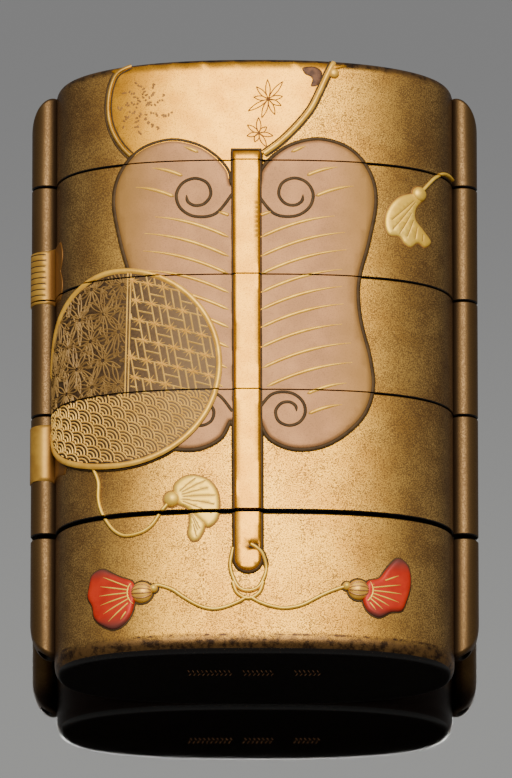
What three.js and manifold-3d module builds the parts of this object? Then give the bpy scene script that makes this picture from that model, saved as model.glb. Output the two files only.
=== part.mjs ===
// An inro: a stack of small nesting lacquered boxes, lying on its back with its decorated front up.
// X runs across it, Y along its height with the lid at +Y, and Z up. Sizes are in millimetres.
// The origin is on the resting face, under the middle of the object.

import * as THREE from 'three';
import { mergeVertices } from 'three/addons/utils/BufferGeometryUtils.js';
import Module from 'manifold-3d';

const wasm = await Module();
wasm.setup();

// ---- Overall form ----
const HEIGHT = 86.5;          // foot to crown of the lid
const BODY_HALF_WIDTH = 27.6; // oval body, without its side beads
const BODY_HALF_DEPTH = 13;
const OVAL_POWER = 2.6;       // 2 is an ellipse, larger is squarer
const OVAL_STEPS = 64;
const BEAD_RADIUS = 2;        // round bead down each side, with the cord channel in it
const BEAD_X = 29;
const BEAD_STEPS = 16;
const BEAD_END_X = 27.5;      // bead ends fall away outwards from here, as a quarter of an ellipse
const BEAD_END_FALL = 4.5;
const BEAD_TOP_DROP = 1.9;    // bead ends start short of the lid's crown and of the foot
const BEAD_FOOT_RISE = 2.8;
const BEAD_END_RINGS = [0.2, 0.65, 1];
const CHANNEL_RADIUS = 0.9;
const REST_CUT = 0.1;         // depth of the narrow flat along the back that it lies on
const LID_CROWN = 0.9;        // fall of the lid's top from its middle to its sides
const LID_EDGE_RADIUS = 1.5;
const FOOT_EDGE_RADIUS = 1.8;
const EDGE_STEPS = 3;
const CROWN_RINGS = [0.72, 0.4];

// ---- The stack, from the lid down ----
const SECTIONS = [
  { name: 'lid', height: 15.3, gapBelow: 0.3 },
  { name: 'case_1', height: 16.7, gapBelow: 0.3 },
  { name: 'case_2', height: 16.8, gapBelow: 0.3 },
  { name: 'case_3', height: 17.6, gapBelow: 0.8 },
  { name: 'case_4', height: 20.1, gapBelow: 0 },
];
const WALL = 2.2;
const LIP_INSET = 1.3;        // the lip stands inside the outer face by this much
const LIP_HEIGHT = 2.5;
const LIP_CLEARANCE = 0.3;
const FLOOR = 1.6;
const FOOT_THICKNESS = 2.4;
const LID_THICKNESS = 2.6;

// ---- Raised lacquer on the front: how far each figure stands proud ----
const WING_RELIEF = 0.35;
const HANDLE_RELIEF = 0.75;
const ROUND_FAN_RELIEF = 0.5;
const TOP_FAN_RELIEF = 0.25;
const TASSEL_RELIEF = 0.5;
const FIGURES_ABOVE_FOOT = 43; // the figures' own level, which their outlines are measured from

const MID_Z = BODY_HALF_DEPTH - REST_CUT;
const TOP_Y = HEIGHT / 2;
const FOOT_Y = -HEIGHT / 2;
const REACH = 100;            // longer than the object, for cutting blocks

// ---- Solids ----

function solidOf(geometry, x = 0, y = 0, z = 0) {
  const bare = geometry.clone().translate(x, y, z);
  for (const name of Object.keys(bare.attributes)) {
    if (name !== 'position') bare.deleteAttribute(name);
  }
  const merged = mergeVertices(bare, 1e-4);
  return new wasm.Manifold(new wasm.Mesh({
    numProp: 3,
    vertProperties: new Float32Array(merged.attributes.position.array),
    triVerts: new Uint32Array(merged.index.array),
  }));
}

function geometryOf(solid) {
  const mesh = solid.getMesh();
  const geometry = new THREE.BufferGeometry();
  geometry.setAttribute('position', new THREE.BufferAttribute(mesh.vertProperties, 3));
  geometry.setIndex(new THREE.BufferAttribute(mesh.triVerts, 1));
  return geometry;
}

// A closed skin through rings of equal count that climb along Y, with a fan of faces at each end.
function loft(rings) {
  const count = rings[0].length;
  const points = rings.flat();
  const first = rings[0].reduce((sum, p) => sum.add(p), new THREE.Vector3()).divideScalar(count);
  const last = rings.at(-1).reduce((sum, p) => sum.add(p), new THREE.Vector3()).divideScalar(count);
  const faces = [];
  for (let r = 0; r + 1 < rings.length; r += 1) {
    for (let i = 0; i < count; i += 1) {
      const a = r * count + i;
      const b = r * count + (i + 1) % count;
      faces.push(a, a + count, b, b, a + count, b + count);
    }
  }
  const end = (rings.length - 1) * count;
  for (let i = 0; i < count; i += 1) {
    const next = (i + 1) % count;
    faces.push(points.length, i, next, points.length + 1, end + next, end + i);
  }
  const geometry = new THREE.BufferGeometry().setFromPoints([...points, first, last]);
  geometry.setIndex(faces);
  return geometry;
}

// ---- The oval section ----

function ovalPoint(angle, halfWidth, halfDepth) {
  const c = Math.cos(angle);
  const s = Math.sin(angle);
  return [
    halfWidth * Math.sign(c) * Math.abs(c) ** (2 / OVAL_POWER),
    halfDepth * Math.sign(s) * Math.abs(s) ** (2 / OVAL_POWER),
  ];
}

function ovalRing(y, inset, crown = 0, scale = 1) {
  const ring = [];
  for (let i = 0; i < OVAL_STEPS; i += 1) {
    const angle = (2 * Math.PI * i) / OVAL_STEPS;
    const [x, z] = ovalPoint(angle, BODY_HALF_WIDTH - inset, BODY_HALF_DEPTH - inset);
    const fall = crown * (scale * x / BODY_HALF_WIDTH) ** 2;
    ring.push(new THREE.Vector3(scale * x, y - fall, MID_Z + scale * z));
  }
  return ring;
}

// The whole body with rounded ends, made thicker all round by grow.
function ovalBody(grow = 0) {
  const rings = [];
  for (let i = 0; i <= EDGE_STEPS; i += 1) {
    const turn = (Math.PI / 2) * (i / EDGE_STEPS);
    const inset = FOOT_EDGE_RADIUS * (1 - Math.sin(turn));
    rings.push(ovalRing(FOOT_Y - grow + FOOT_EDGE_RADIUS * (1 - Math.cos(turn)), inset - grow));
  }
  for (let i = EDGE_STEPS; i >= 0; i -= 1) {
    const turn = (Math.PI / 2) * (i / EDGE_STEPS);
    const inset = LID_EDGE_RADIUS * (1 - Math.sin(turn));
    const y = TOP_Y + grow - LID_EDGE_RADIUS * (1 - Math.cos(turn));
    rings.push(ovalRing(y, inset - grow, LID_CROWN));
  }
  for (const scale of CROWN_RINGS) {
    rings.push(ovalRing(TOP_Y + grow, LID_EDGE_RADIUS - grow, LID_CROWN, scale));
  }
  return solidOf(loft(rings));
}

function ovalPrism(inset, low, high) {
  return solidOf(loft([ovalRing(low, inset), ovalRing(high, inset)]));
}

// ---- Side beads and their channels ----

// How far the end of a bead lies from the end of the body, at this distance from the middle line.
function beadEnd(x, start) {
  const out = (Math.abs(x) - BEAD_END_X) / (BEAD_X + BEAD_RADIUS - BEAD_END_X);
  return start + BEAD_END_FALL * (1 - Math.sqrt(1 - Math.min(1, Math.max(0, out)) ** 2));
}

function beadRing(side, radius, heightAt) {
  const ring = [];
  for (let i = 0; i < BEAD_STEPS; i += 1) {
    const angle = (2 * Math.PI * i) / BEAD_STEPS;
    const x = side * BEAD_X + radius * Math.cos(angle);
    ring.push(new THREE.Vector3(x, heightAt(x), MID_Z + radius * Math.sin(angle)));
  }
  return ring;
}

function sideBead(side) {
  const foot = (x) => FOOT_Y + beadEnd(x, BEAD_FOOT_RISE);
  const crown = (x) => TOP_Y - beadEnd(x, BEAD_TOP_DROP);
  const rings = BEAD_END_RINGS.map((share) => beadRing(side, share * BEAD_RADIUS, foot));
  for (const share of BEAD_END_RINGS.toReversed()) {
    rings.push(beadRing(side, share * BEAD_RADIUS, crown));
  }
  return solidOf(loft(rings));
}

function cordChannel(side) {
  const bore = new THREE.CylinderGeometry(CHANNEL_RADIUS, CHANNEL_RADIUS, REACH, 12);
  return solidOf(bore, side * BEAD_X, 0, MID_Z);
}

// ---- Distances measured over the curved front ----

const arc = [{ x: 0, over: 0 }];
{
  const steps = 400;
  let before = [0, BODY_HALF_DEPTH];
  for (let i = 1; i <= steps; i += 1) {
    const angle = (Math.PI / 2) * (1 - i / steps);
    const now = ovalPoint(angle, BODY_HALF_WIDTH, BODY_HALF_DEPTH);
    const step = Math.hypot(now[0] - before[0], now[1] - before[1]);
    arc.push({ x: now[0], over: arc.at(-1).over + step });
    before = now;
  }
}

// The x of a point that lies this far round the front from its middle line.
function acrossFor(over) {
  const far = Math.min(Math.abs(over), arc.at(-1).over);
  const i = Math.max(1, arc.findIndex((entry) => entry.over >= far));
  const part = (far - arc[i - 1].over) / (arc[i].over - arc[i - 1].over);
  return Math.sign(over) * (arc[i - 1].x + part * (arc[i].x - arc[i - 1].x));
}

// ---- Raised figures ----

// A closed outline through the points, in x and y.
function smoothOutline(points, steps) {
  const curve = new THREE.CatmullRomCurve3(points.map(([x, y]) => new THREE.Vector3(x, y, 0)), true);
  return new THREE.Shape(curve.getPoints(steps).slice(0, -1).map((p) => new THREE.Vector2(p.x, p.y)));
}

// The part of the thickened body that lies under an outline, on the front half only.
function raised(shape, relief) {
  const block = new THREE.ExtrudeGeometry(shape, { depth: REACH, bevelEnabled: false });
  return solidOf(block, 0, FOOT_Y + FIGURES_ABOVE_FOOT, MID_Z).intersect(ovalBody(relief));
}

// War fan: two wings either side of a long handle, all measured from the handle's middle.
const FAN_X = -1.35;
const WING = [
  [1.6, 24], [3.9, 29.1], [6.7, 31], [10.6, 31.3], [14.6, 30], [17.2, 26.8], [18, 22.7],
  [17, 16.7], [15.6, 10.8], [15.8, 5.5], [17.2, -0.5], [17.5, -5], [15.8, -9.3],
  [11.6, -12.9], [7.1, -13.8], [3.4, -12.2], [1.6, -8],
];

function wing(side) {
  return raised(smoothOutline(WING.map(([u, y]) => [FAN_X + side * u, y]), 46), WING_RELIEF);
}

function handle() {
  const radius = 1.85;
  const tipY = -29.8;
  const shape = new THREE.Shape();
  shape.moveTo(-3.1, 29.8);
  shape.lineTo(-2.75, tipY);
  shape.absarc(-2.75 + radius, tipY, radius, Math.PI, 2 * Math.PI, false);
  shape.lineTo(0.8, 29.8);
  shape.closePath();
  return raised(shape, HANDLE_RELIEF);
}

// Round fan, a true circle when measured over the curved shoulder, ending where the shoulder turns down.
function roundFan() {
  const shoulderX = -26.9;
  const radius = 14.4;
  const over = -19.1;
  const y = -1.4;
  const shape = new THREE.Shape();
  const steps = 32;
  for (let i = 0; i < steps; i += 1) {
    const angle = (2 * Math.PI * i) / steps;
    const x = Math.max(shoulderX, acrossFor(over + radius * Math.cos(angle)));
    shape[i ? 'lineTo' : 'moveTo'](x, y + radius * Math.sin(angle));
  }
  return raised(shape, ROUND_FAN_RELIEF);
}

// Fan behind the others, cut off by the top of the lid.
function topFan() {
  const outline = [
    [-19, 41], [-20.2, 37.4], [-19.4, 32.9], [-15, 26.5], [-7, 24.5], [0, 27.8],
    [6, 33.5], [9, 38.4], [10.2, 41], [-4, 41.3],
  ];
  return raised(smoothOutline(outline, 32), TOP_FAN_RELIEF);
}

function tassel(outline) {
  return raised(smoothOutline(outline, 14), TASSEL_RELIEF);
}

const TASSELS = [
  [[-17.2, -33.4], [-20.9, -30.3], [-22.6, -33], [-21.6, -38], [-19.3, -39.3], [-16.5, -36.3]],
  [[15.6, -33], [19.3, -28.9], [21.2, -33], [19.5, -36.2], [17, -37.8], [14.8, -35.8]],
  [[-11.9, -21.2], [-10.6, -17.6], [-6, -18.6], [-4.9, -23], [-5.1, -27], [-9, -24.4]],
  [[22.6, 24.6], [19.6, 23.4], [18, 20.3], [19.6, 17.2], [24, 16.8], [23.8, 20.6]],
];

// ---- The stack ----

function block(low, high) {
  const box = new THREE.BoxGeometry(REACH, high - low, REACH);
  return solidOf(box, 0, (low + high) / 2, MID_Z);
}

function wholeForm() {
  let form = ovalBody();
  for (const side of [-1, 1]) form = form.add(sideBead(side)).add(wing(side));
  form = form.add(topFan()).add(roundFan()).add(handle());
  for (const outline of TASSELS) form = form.add(tassel(outline));
  for (const side of [-1, 1]) form = form.subtract(cordChannel(side));
  const underFloor = new THREE.BoxGeometry(REACH, REACH, REACH);
  return form.subtract(solidOf(underFloor, 0, 0, -REACH / 2));
}

const form = wholeForm();
const lacquer = { color: 0xa98748, roughness: 0.38, metalness: 0.85 };
const group = new THREE.Group();
let top = TOP_Y;

SECTIONS.forEach(({ name, height, gapBelow }, index) => {
  const isLid = index === 0;
  const isFoot = index === SECTIONS.length - 1;
  const gapAbove = isLid ? 0 : SECTIONS[index - 1].gapBelow;
  const bottom = isFoot ? FOOT_Y : top - height;
  const faceAbove = isLid ? top + 1 : top - gapAbove / 2;
  const faceBelow = isFoot ? bottom - 1 : bottom + gapBelow / 2;
  const recessTop = faceBelow + LIP_HEIGHT + LIP_CLEARANCE;

  let solid = form.intersect(block(faceBelow, faceAbove));
  if (!isLid) {
    const lip = ovalPrism(LIP_INSET, faceAbove - 1, faceAbove - gapAbove + LIP_HEIGHT);
    solid = solid.add(lip);
  }
  if (!isFoot) solid = solid.subtract(ovalPrism(LIP_INSET - LIP_CLEARANCE, faceBelow - 1, recessTop));
  const cavityLow = isFoot ? bottom + FOOT_THICKNESS : recessTop + FLOOR;
  const cavityHigh = isLid ? top - LID_THICKNESS : top + REACH;
  solid = solid.subtract(ovalPrism(WALL, isLid ? faceBelow - 1 : cavityLow, cavityHigh));

  const mesh = new THREE.Mesh(geometryOf(solid), new THREE.MeshStandardMaterial(lacquer));
  mesh.name = name;
  group.add(mesh);
  top = bottom;
});

export default group;
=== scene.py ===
import math

import bmesh
import bpy
import numpy as np
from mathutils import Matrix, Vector
from mathutils.geometry import delaunay_2d_cdt


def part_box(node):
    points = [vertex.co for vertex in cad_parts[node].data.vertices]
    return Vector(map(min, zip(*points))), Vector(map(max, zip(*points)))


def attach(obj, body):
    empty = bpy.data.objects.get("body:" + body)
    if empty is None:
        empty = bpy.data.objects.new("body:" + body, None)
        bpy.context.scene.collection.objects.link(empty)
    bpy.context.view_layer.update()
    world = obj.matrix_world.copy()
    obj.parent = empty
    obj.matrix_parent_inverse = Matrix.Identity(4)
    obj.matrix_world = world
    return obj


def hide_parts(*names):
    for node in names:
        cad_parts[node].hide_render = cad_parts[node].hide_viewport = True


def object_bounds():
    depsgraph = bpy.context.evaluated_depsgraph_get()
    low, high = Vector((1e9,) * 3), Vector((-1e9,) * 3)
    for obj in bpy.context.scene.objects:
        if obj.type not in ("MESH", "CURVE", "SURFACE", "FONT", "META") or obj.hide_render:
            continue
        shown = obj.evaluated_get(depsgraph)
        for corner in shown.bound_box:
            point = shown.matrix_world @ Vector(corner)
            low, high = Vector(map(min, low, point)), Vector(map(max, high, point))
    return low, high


# An inro of gold lacquer lying on its back: a lid and four trays, with fans, cords and tassels in raised
# lacquer on the front. Figures are drawn flat, in millimetres round the body and along it, cut where the
# boxes part, and then laid on the curved wall.

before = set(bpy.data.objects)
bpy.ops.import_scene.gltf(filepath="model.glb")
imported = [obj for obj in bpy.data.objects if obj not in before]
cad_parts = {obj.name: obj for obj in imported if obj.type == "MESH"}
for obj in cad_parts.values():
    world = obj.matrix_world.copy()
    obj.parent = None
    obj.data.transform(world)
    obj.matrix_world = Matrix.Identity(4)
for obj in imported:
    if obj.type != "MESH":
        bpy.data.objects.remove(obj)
cad_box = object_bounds()
MM = 0.001

# ---- Sizes of the body, in millimetres ----

TRAYS = ["lid", "case_1", "case_2", "case_3", "case_4"]
LAST_TRAY = len(TRAYS) - 1
low_corner = {tray: [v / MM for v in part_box(tray)[0]] for tray in TRAYS}
HALF_WIDTH = 27.6
HALF_DEPTH = 13.0
OVAL_POWER = 2.6
REST_CUT = 0.1
MID_Z = HALF_DEPTH - REST_CUT
TOP = cad_box[1].y / MM
FOOT = cad_box[0].y / MM
CROWN = 0.9
LID_EDGE = 1.5
FOOT_EDGE = 1.8
BEAD_RADIUS = 2.0
BEAD_X = cad_box[1].x / MM - BEAD_RADIUS
BEAD_EDGE = 27.7
BEAD_END_X = 27.5
BEAD_END_FALL = 4.5
BEAD_TOP_DROP = 1.9
BEAD_FOOT_RISE = 2.8
BEAD_CAP_SHARES = (0.05, 0.3, 0.5, 0.65, 0.77, 0.86, 0.93, 0.98, 1.0)
BEAD_SOFTNESS = 0.15
CHANNEL_RADIUS = 0.9
WALL = 2.2
LIP_INSET = 1.3
LIP_HEIGHT = 2.5
LIP_CLEARANCE = 0.3
FLOOR = 1.6
FOOT_THICKNESS = 2.4
LID_THICKNESS = 2.6
SEAM_GAPS = (0.2, 0.2, 0.2, 0.6)
FRAME_GAPS = (0.3, 0.3, 0.3, 0.8)
EDGE_SOFTNESS = 0.12
FLOOR_FILLET = 0.6
ROUND_STEPS = 288
FIGURE_LEVEL = FOOT + 43


# ---- The oval, walked round from the middle of the front ----

sweep = np.linspace(math.pi / 2, -math.pi / 2, 4001)
oval_x = HALF_WIDTH * np.abs(np.cos(sweep)) ** (2 / OVAL_POWER)
oval_z = HALF_DEPTH * np.sign(np.sin(sweep)) * np.abs(np.sin(sweep)) ** (2 / OVAL_POWER)
oval_x[0] = oval_x[-1] = 0.0
oval_walk = np.concatenate([[0.0], np.cumsum(np.hypot(np.diff(oval_x), np.diff(oval_z)))])


def round_from(across):
    """Walk along the front from its middle to the point this far across."""
    half = len(sweep) // 2 + 1
    return np.sign(across) * np.interp(np.abs(across), oval_x[:half], oval_walk[:half])


def oval_at(walk):
    """Place and outward direction on the oval, for walks round it from the middle of the front."""
    walk = np.asarray(walk, float)
    full = 2 * oval_walk[-1]
    walk = (walk + full / 2) % full - full / 2
    far = np.abs(walk)
    x = np.sign(walk) * np.interp(far, oval_walk, oval_x)
    z = np.interp(far, oval_walk, oval_z)
    nx = np.sign(x) * (np.abs(x) / HALF_WIDTH) ** (OVAL_POWER - 1) / HALF_WIDTH
    nz = np.sign(z) * (np.abs(z) / HALF_DEPTH) ** (OVAL_POWER - 1) / HALF_DEPTH
    size = np.maximum(np.hypot(nx, nz), 1e-9)
    return x, z, nx / size, nz / size


def on_body(walk, up, proud=0.0):
    """Points on the body in metres, for walks round it, distances along it and heights above its skin.
    Past the start of a rounded end, the distance runs on round the edge."""
    x, z, nx, nz = oval_at(walk)
    up = np.asarray(up, float)
    fall = CROWN * (x / HALF_WIDTH) ** 2
    lid_start = TOP - fall - LID_EDGE
    foot_start = FOOT + FOOT_EDGE
    over_lid = np.clip((up - lid_start) / LID_EDGE, 0, math.pi / 2)
    over_foot = np.clip((foot_start - up) / FOOT_EDGE, 0, math.pi / 2)
    inset = LID_EDGE * (1 - np.cos(over_lid)) + FOOT_EDGE * (1 - np.cos(over_foot))
    y = np.clip(up, foot_start, lid_start) + LID_EDGE * np.sin(over_lid) - FOOT_EDGE * np.sin(over_foot)
    ny = np.sin(over_lid) - np.sin(over_foot)
    side = np.sqrt(1 - ny**2)
    px = x - nx * inset + nx * side * proud
    py = y + ny * proud
    pz = MID_Z + z - nz * inset + nz * side * proud
    return np.stack([px, py, np.maximum(pz, 0.0)], -1) * MM


# ---- Small tools for meshes ----


def new_object(name, verts, faces, finishes=(), finish_of_face=None):
    mesh = bpy.data.meshes.new(name)
    mesh.from_pydata([tuple(v) for v in verts], [], faces)
    for finish in finishes:
        mesh.materials.append(finish)
    if finish_of_face is not None:
        mesh.polygons.foreach_set("material_index", finish_of_face)
    mesh.update()
    obj = bpy.data.objects.new(name, mesh)
    bpy.context.scene.collection.objects.link(obj)
    return obj


def add_values(obj, **values):
    """Named numbers on the mesh's points, for nodes to read."""
    for label, numbers in values.items():
        layer = obj.data.attributes.new(label, "FLOAT", "POINT")
        layer.data.foreach_set("value", np.array(numbers, np.float32))


def settle(obj):
    """Turns the object with its modifiers into a plain mesh."""
    graph = bpy.context.evaluated_depsgraph_get()
    mesh = bpy.data.meshes.new_from_object(obj.evaluated_get(graph), depsgraph=graph)
    obj.modifiers.clear()
    old = obj.data
    obj.data = mesh
    mesh.name = old.name
    return obj


def combine(obj, other, operation):
    """Joins or cuts one closed solid with another, and drops the other."""
    change = obj.modifiers.new("combine", "BOOLEAN")
    change.operation = operation
    change.solver = "MANIFOLD"
    change.object = other
    settle(obj)
    bpy.data.objects.remove(other)
    return obj


def face_outwards(obj):
    """Turns every face of a closed mesh to the outside."""
    part = bmesh.new()
    part.from_mesh(obj.data)
    bmesh.ops.recalc_face_normals(part, faces=part.faces[:])
    part.to_mesh(obj.data)
    part.free()


def smooth_faces(obj, angle):
    obj.data.shade_smooth()
    obj.data.set_sharp_from_angle(angle=math.radians(angle))


def finish_piece(obj):
    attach(obj, "root")
    return obj


# ---- Materials ----


class Mixer:
    """Short hand for building one material's nodes."""

    def __init__(self, name):
        self.material = bpy.data.materials.new(name)
        self.material.use_nodes = True
        self.nodes = self.material.node_tree.nodes
        self.links = self.material.node_tree.links
        self.shader = self.nodes["Principled BSDF"]
        self.place = self.nodes.new("ShaderNodeTexCoord").outputs["Object"]

    def join(self, output, socket):
        self.links.new(output, socket)

    def noise(self, scale, detail=2.0, roughness=0.5):
        node = self.nodes.new("ShaderNodeTexNoise")
        node.inputs["Scale"].default_value = scale
        node.inputs["Detail"].default_value = detail
        node.inputs["Roughness"].default_value = roughness
        self.join(self.place, node.inputs["Vector"])
        return node.outputs["Fac"]

    def ramp(self, value, low, high, start=0.0, end=1.0):
        """Eases from one number to another as the value goes from low to high."""
        node = self.nodes.new("ShaderNodeMapRange")
        node.interpolation_type = "SMOOTHSTEP"
        for name, number in (("From Min", low), ("From Max", high), ("To Min", start), ("To Max", end)):
            node.inputs[name].default_value = number
        self.join(value, node.inputs["Value"])
        return node.outputs["Result"]

    def maths(self, kind, a, b=0.0):
        node = self.nodes.new("ShaderNodeMath")
        node.operation = kind
        for value, socket in ((a, node.inputs[0]), (b, node.inputs[1])):
            if isinstance(value, (int, float)):
                socket.default_value = value
            else:
                self.join(value, socket)
        return node.outputs["Value"]

    def away(self, value, level):
        """How far a value is from a level, on either side of it."""
        return self.maths("ABSOLUTE", self.maths("SUBTRACT", value, level))

    def along(self, axis):
        node = self.nodes.new("ShaderNodeSeparateXYZ")
        self.join(self.place, node.inputs["Vector"])
        return node.outputs[axis]

    def blend(self, amount, a, b):
        node = self.nodes.new("ShaderNodeMix")
        node.data_type = "RGBA"
        self.join(amount, node.inputs[0])
        for value, socket in ((a, node.inputs[6]), (b, node.inputs[7])):
            if isinstance(value, tuple):
                socket.default_value = (*value, 1)
            else:
                self.join(value, socket)
        return node.outputs[2]

    def mark(self, name):
        """A value that the mesh carries at its points."""
        node = self.nodes.new("ShaderNodeAttribute")
        node.attribute_name = name
        return node.outputs["Fac"]

    def bump(self, height, strength, distance):
        node = self.nodes.new("ShaderNodeBump")
        node.inputs["Strength"].default_value = strength
        node.inputs["Distance"].default_value = distance
        self.join(height, node.inputs["Height"])
        self.join(node.outputs["Normal"], self.shader.inputs["Normal"])


# Each gold is a pair of tones that drift into each other.
MIDDLE_GOLD = (0.53, 0.235, 0.015), (0.65, 0.315, 0.023)
# The gold towards the sides is darker, partly from wear and partly as painted shade.
RUBBED_AND_SHADED_GOLD = (0.28, 0.155, 0.048), (0.44, 0.265, 0.082)
DARK_GRAIN = (0.08, 0.036, 0.014)
BRIGHT_GRAIN = (0.9, 0.55, 0.18)
# Painted shade where the oval turns down towards the sides.
SIDE_SHADE_BROWN = (0.06, 0.03, 0.012)
BEAD_BROWN = (0.1, 0.052, 0.016)
# Painted shade in the crease beside each bead.
CREASE_SHADE_BROWN = (0.03, 0.014, 0.007)
SCUFF_BROWN = (0.05, 0.022, 0.01)
BARE_LACQUER = (0.03, 0.014, 0.006), (0.15, 0.075, 0.022)
# Painted shade: near black on the back near the foot, beside the table.
BACK_SHADE_BLACK = (0.012, 0.006, 0.004)


def sprinkled(mix, side, grains):
    """The powder itself: clouded gold, darker and more speckled at the sides, partly rubbed and partly
    painted shade, with dark and bright grains.
    """
    clouds = mix.ramp(mix.noise(120, 4, 0.65), 0.34, 0.66)
    # Towards the sides the gold is darker and has more dark grains: partly rubbed, partly painted shade.
    tone = mix.blend(side, mix.blend(clouds, *MIDDLE_GOLD), mix.blend(clouds, *RUBBED_AND_SHADED_GOLD))
    patches = mix.ramp(mix.noise(300, 3), 0.4, 0.7, 0.0, 0.05)
    thinner = mix.maths("ADD", patches, mix.maths("MULTIPLY", side, 0.055))
    specks = mix.ramp(mix.maths("ADD", grains, thinner), 0.47, 0.64, 0.0, 0.75)
    tone = mix.blend(specks, tone, DARK_GRAIN)
    return specks, mix.blend(mix.ramp(grains, 0.36, 0.28, 0.0, 0.3), tone, BRIGHT_GRAIN)


def darker_sides(mix, tone, far):
    """Painted shade: browner where the oval turns down and darker along the crease beside each bead.
    Browner on the beads too.
    """
    # Painted shade along the crease beside each bead.
    crease = mix.ramp(mix.away(far, BEAD_EDGE * MM), 0.0011, 0.0001, 0.0, 0.85)
    tone = mix.blend(crease, tone, CREASE_SHADE_BROWN)
    # Painted shade where the oval turns down.
    tone = mix.blend(mix.ramp(far, 0.0245, 0.0272, 0.0, 0.55), tone, SIDE_SHADE_BROWN)
    return mix.blend(mix.ramp(far, 0.0278, 0.0286, 0.0, 0.8), tone, BEAD_BROWN)


def worn_rim(mix, far, ragged):
    """Wear round the lid's crowned edge, but not on the middle of its top."""
    crown = mix.maths("MULTIPLY", mix.maths("POWER", far, 2.0), 1.2)
    height = mix.maths("ADD", mix.along("Y"), crown)
    edge = mix.ramp(mix.maths("ADD", height, ragged), (TOP - 1.1) * MM, (TOP - 0.1) * MM)
    across = mix.maths("POWER", mix.maths("DIVIDE", far, HALF_WIDTH * MM), OVAL_POWER)
    from_middle = mix.away(mix.along("Z"), MID_Z * MM)
    through = mix.maths("POWER", mix.maths("DIVIDE", from_middle, HALF_DEPTH * MM), OVAL_POWER)
    near_skin = mix.ramp(mix.maths("ADD", across, through), 0.66, 0.84)
    return mix.maths("MULTIPLY", edge, near_skin)


def scuffed_line(mix):
    """A broken dark line a little above the foot."""
    line = mix.ramp(mix.away(mix.along("Y"), (FOOT + 2.3) * MM), 0.00028, 0.00005)
    return mix.maths("MULTIPLY", line, mix.ramp(mix.noise(500, 4, 0.7), 0.42, 0.6))


def powdered_gold():
    """Gold powder over dark lacquer. It is brightest along the middle of the front and browner towards
    the sides, partly rubbed and partly painted shade, with painted shade in the creases beside the beads
    and on the back near the foot. It is worn to dark lacquer along the lid's edge and round the foot."""
    mix = Mixer("powdered gold")
    far = mix.maths("ABSOLUTE", mix.along("X"))
    grains = mix.noise(6000, 2.5, 0.6)
    specks, tone = sprinkled(mix, mix.ramp(far, 0.01, 0.0275), grains)
    tone = darker_sides(mix, tone, far)
    ragged = mix.maths("MULTIPLY", mix.noise(700, 3), 0.0012)
    foot_height = mix.maths("SUBTRACT", mix.along("Y"), ragged)
    foot_edge = mix.ramp(foot_height, (FOOT + 2.3) * MM, (FOOT + 0.9) * MM)
    bare = mix.blend(mix.ramp(mix.noise(900, 4, 0.7), 0.35, 0.6), *BARE_LACQUER)
    tone = mix.blend(mix.maths("MAXIMUM", worn_rim(mix, far, ragged), foot_edge), tone, bare)
    tone = mix.blend(scuffed_line(mix), tone, SCUFF_BROWN)
    # Painted shade: the back half near the foot, beside the table, goes near black.
    low_side = mix.ramp(mix.along("Z"), 0.0135, 0.0105)
    near_foot = mix.ramp(foot_height, (FOOT + 8.0) * MM, (FOOT + 4.0) * MM)
    tone = mix.blend(mix.maths("MULTIPLY", low_side, near_foot), tone, BACK_SHADE_BLACK)
    mix.join(tone, mix.shader.inputs["Base Color"])
    mix.shader.inputs["Metallic"].default_value = 0.85
    mix.join(mix.ramp(specks, 0, 1, 0.42, 0.56), mix.shader.inputs["Roughness"])
    mix.bump(grains, 0.3, 0.00005)
    return mix.material


def black_lacquer():
    """Brown-black lacquer with a thin dusting of gold."""
    mix = Mixer("black lacquer")
    dust = mix.ramp(mix.noise(5200, 1), 0.7, 0.76, 0.0, 0.5)
    tone = mix.blend(dust, (0.005, 0.003, 0.002), (0.22, 0.12, 0.045))
    mix.join(tone, mix.shader.inputs["Base Color"])
    mix.shader.inputs["Roughness"].default_value = 0.3
    mix.shader.inputs["Specular IOR Level"].default_value = 0.25
    return mix.material


GOLD = powdered_gold()
BLACK = black_lacquer()
GOLD_LOOK, BLACK_LOOK = 0, 1


# ---- The boxes ----


def ring(y, inset, crown=0.0, scale=1.0):
    """One closed ring round the oval, set in from the skin."""
    walks = np.linspace(0, 2 * oval_walk[-1], ROUND_STEPS, endpoint=False)
    x, z, nx, nz = oval_at(walks)
    x, z = x - nx * inset, z - nz * inset
    fall = crown * (scale * x / HALF_WIDTH) ** 2
    return np.stack([scale * x, y - fall, np.maximum(MID_Z + scale * z, 0.0)], -1) * MM


def skin_ring(up):
    walks = np.linspace(0, 2 * oval_walk[-1], ROUND_STEPS, endpoint=False)
    return on_body(walks, np.full_like(walks, up))


def lofted(name, rings_and_looks):
    """A closed skin through rings, from the middle of one end to the middle of the other. Each ring
    comes with the finish of the band that starts at it."""
    rings, looks = zip(*rings_and_looks)
    count = len(rings[0])
    verts = np.concatenate([*rings, [rings[0].mean(0)], [rings[-1].mean(0)]])
    faces, finish_of_face = [], []
    for r in range(len(rings) - 1):
        for i in range(count):
            j = (i + 1) % count
            faces.append((r * count + i, r * count + j, (r + 1) * count + j, (r + 1) * count + i))
            finish_of_face.append(looks[r])
    last = (len(rings) - 1) * count
    for i in range(count):
        j = (i + 1) % count
        faces += [(len(verts) - 2, j, i), (len(verts) - 1, last + i, last + j)]
        finish_of_face += [looks[0], looks[-1]]
    return new_object(name, verts, faces, (GOLD, BLACK), finish_of_face)


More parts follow.
